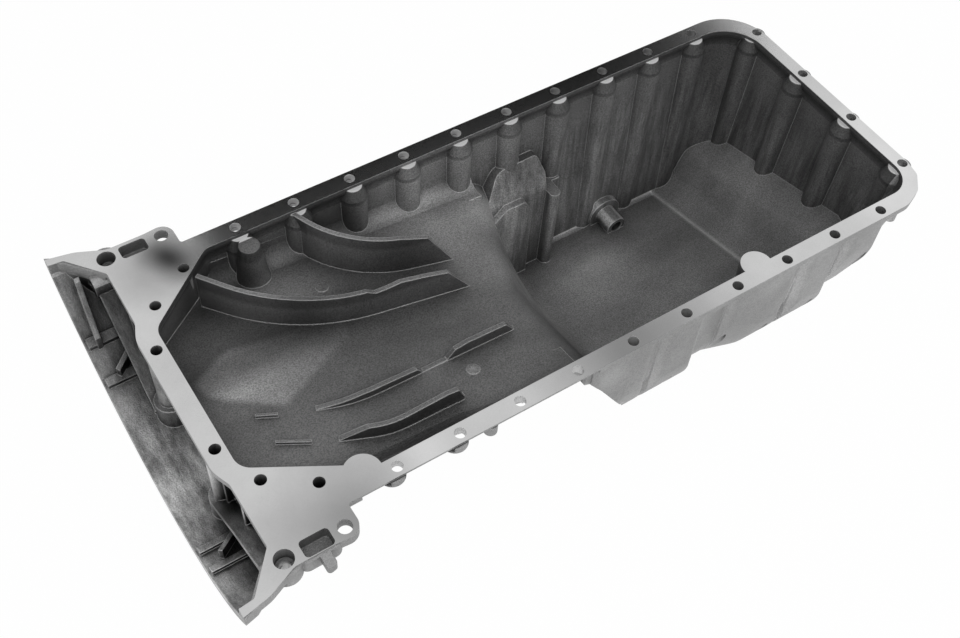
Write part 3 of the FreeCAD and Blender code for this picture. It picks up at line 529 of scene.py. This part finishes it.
# painted shade inside the drain bore, painted light near its mouth
drain_rim = alloy.fade(y, DRAIN_RIM, DRAIN_MOUTH)
grey = alloy.blend(drain_wall, grey, drain_rim * DRAIN_RIM_GREY + DRAIN_SHADE_GREY)
grey = alloy.blend(gasket_face, grey, cut_grey)
print("nodes with the whole grey:", len(alloy.tree.nodes))

# %% [markdown]
# Roughness says how blurred a reflection is. Machined faces mirror the room softly, and raw metal hardly
# does. The grain also tilts the surface, through a Bump node, so that it catches light and not only colour.

# %% Gloss, grain height and the finished material
GRAIN_HEIGHT = 0.0002
CUTTER_HEIGHT = 0.00001
RAW_ROUGHNESS = (0.42, 0.62)
OUTER_ROUGHNESS = 0.5
SCOOP_ROUGHNESS = (0.3, 0.6)
COLUMN_TOP_ROUGHNESS = 0.4
CUT_ROUGHNESS = (0.13, 0.17)
OUTER_METAL = 0.8
RAW_METAL = 0.45

raw_roughness = alloy.blend(specks, *RAW_ROUGHNESS)
outer_roughness = alloy.blend(scoop, OUTER_ROUGHNESS, alloy.blend(mottle, *SCOOP_ROUGHNESS))
cast_roughness = alloy.blend(hollow, outer_roughness, raw_roughness)
cast_roughness = alloy.blend(column_tops, cast_roughness, COLUMN_TOP_ROUGHNESS)
roughness = alloy.blend(gasket_face, cast_roughness, alloy.blend(streaks, *CUT_ROUGHNESS))
metal = alloy.blend(gasket_face, alloy.blend(hollow, OUTER_METAL, RAW_METAL), 1.0)
metal = metal * (1 - column_tops * 0.7) * (1 - drain_wall)

height = alloy.blend(gasket_face, (grain * 0.5 + specks) * GRAIN_HEIGHT, streaks * CUTTER_HEIGHT)
cast_normal = alloy.turned(far_floor, rounded, FAR_FLOOR_NORMAL)
normal = alloy.turned(gasket_face, cast_normal, plain)
bumps = alloy.node("ShaderNodeBump", {}, {
    "Height": height, "Distance": 1.0, "Strength": 0.5, "Normal": normal}, "Normal")
alloy.surface({"Base Color": grey, "Roughness": roughness, "Metallic": metal, "Normal": bumps})
for slot in casting.material_slots:
    slot.material = alloy.owner
print("nodes of the finish:", len(alloy.tree.nodes))

# %% [markdown]
# The pan lies in a photographer's white sweep. The floor is a plain pale sheet under the deepest point of
# the sump. The camera and the shiny faces see it almost white, and it still takes a little of the pan's
# shadow. The world does the same for what lies beyond the sheet, and lights the pan less than it shows.

# %% Floor and white surround
FLOOR_REACH = 6.0
FLOOR_WHITE = 0.985
PAPER = (0.85, 0.85, 0.85, 1)
WHITE = (1, 1, 1, 1)
ROOM_LIGHT = 0.35


def seen_white(finish):
    """1 for what the camera, a mirror or glass looks at, and 0 for light on its way to the pan."""
    rays = finish.node("ShaderNodeLightPath", {}, {}).socket.node.outputs
    return (Wire(finish, rays["Is Camera Ray"]) | Wire(finish, rays["Is Glossy Ray"])
            | Wire(finish, rays["Is Transmission Ray"]))


def card(name, left, right, near, far, height, finish):
    """A flat sheet that belongs to the studio, not to the pan."""
    corners = [(left, near, height), (right, near, height), (right, far, height), (left, far, height)]
    mesh = bpy.data.meshes.new(name)
    mesh.from_pydata(corners, [], [(0, 1, 2, 3)])
    mesh.materials.append(finish.owner)
    made = bpy.data.objects.new(name, mesh)
    bpy.context.scene.collection.objects.link(made)
    return made


sheet = Finish(bpy.data.materials.new("pale_sheet"))
paper = sheet.node("ShaderNodeBsdfDiffuse", {}, {"Color": PAPER})
white = sheet.node("ShaderNodeEmission", {}, {"Color": WHITE, "Strength": 1.0})
mixed = sheet.node("ShaderNodeMixShader", {}, {0: seen_white(sheet) * FLOOR_WHITE, 1: paper, 2: white})
sheet.node("ShaderNodeOutputMaterial", {}, {"Surface": mixed}, None)
card("floor", -FLOOR_REACH, FLOOR_REACH, -FLOOR_REACH, FLOOR_REACH, cad_box[0].z, sheet)

studio = Finish(bpy.data.worlds.new("studio"))
bpy.context.scene.world = studio.owner
strength = studio.blend(seen_white(studio), ROOM_LIGHT, 1.0)
sky = studio.node("ShaderNodeBackground", {}, {"Color": WHITE, "Strength": strength})
studio.node("ShaderNodeOutputWorld", {}, {"Surface": sky}, None)
print("floor at", cad_box[0].z)

# %% [markdown]
# Photographers hang black card where a shiny face should look dark. The machined far rail mirrors one such
# card, while the ends of the rail and the other sides still mirror the white room. Only glossy rays see it.

# %% Black card above the far side
CARD_LEFT = -0.09
CARD_RIGHT = 0.925
CARD_NEAR = 0.57
CARD_FAR = 1.4
CARD_HEIGHT = 0.70

black = Finish(bpy.data.materials.new("black_card"))
black.surface({"Base Color": (0.004, 0.004, 0.004, 1), "Roughness": 1.0})
flag = card("black_card", CARD_LEFT, CARD_RIGHT, CARD_NEAR, CARD_FAR, CARD_HEIGHT, black)
flag.visible_camera = False
flag.visible_diffuse = False
flag.visible_shadow = False
print("black card from", CARD_LEFT, "to", CARD_RIGHT)

# %% [markdown]
# Metal shows what stands around it. Two large soft lamps give broad, quiet highlights: the key lamp stands
# on the camera's side, and a weaker one lights the sump end.

# %% Lamps
LAMPS = [
    ("key_lamp", (-0.7, -1.1, 1.5), 1.2, 16),
    ("side_lamp", (1.5, -0.7, 1.3), 1.0, 6),
]
for name, spot, width, watts in LAMPS:
    lamp = bpy.data.objects.new(name, bpy.data.lights.new(name, "AREA"))
    lamp.data.shape = "SQUARE"
    lamp.data.size = width
    lamp.data.energy = watts
    lamp.location = spot
    lamp.rotation_euler = (-Vector(spot)).to_track_quat("-Z", "Y").to_euler()
    bpy.context.scene.collection.objects.link(lamp)
bpy.context.scene.view_settings.view_transform = "Standard"
print("lamps:", [name for name, *rest in LAMPS])
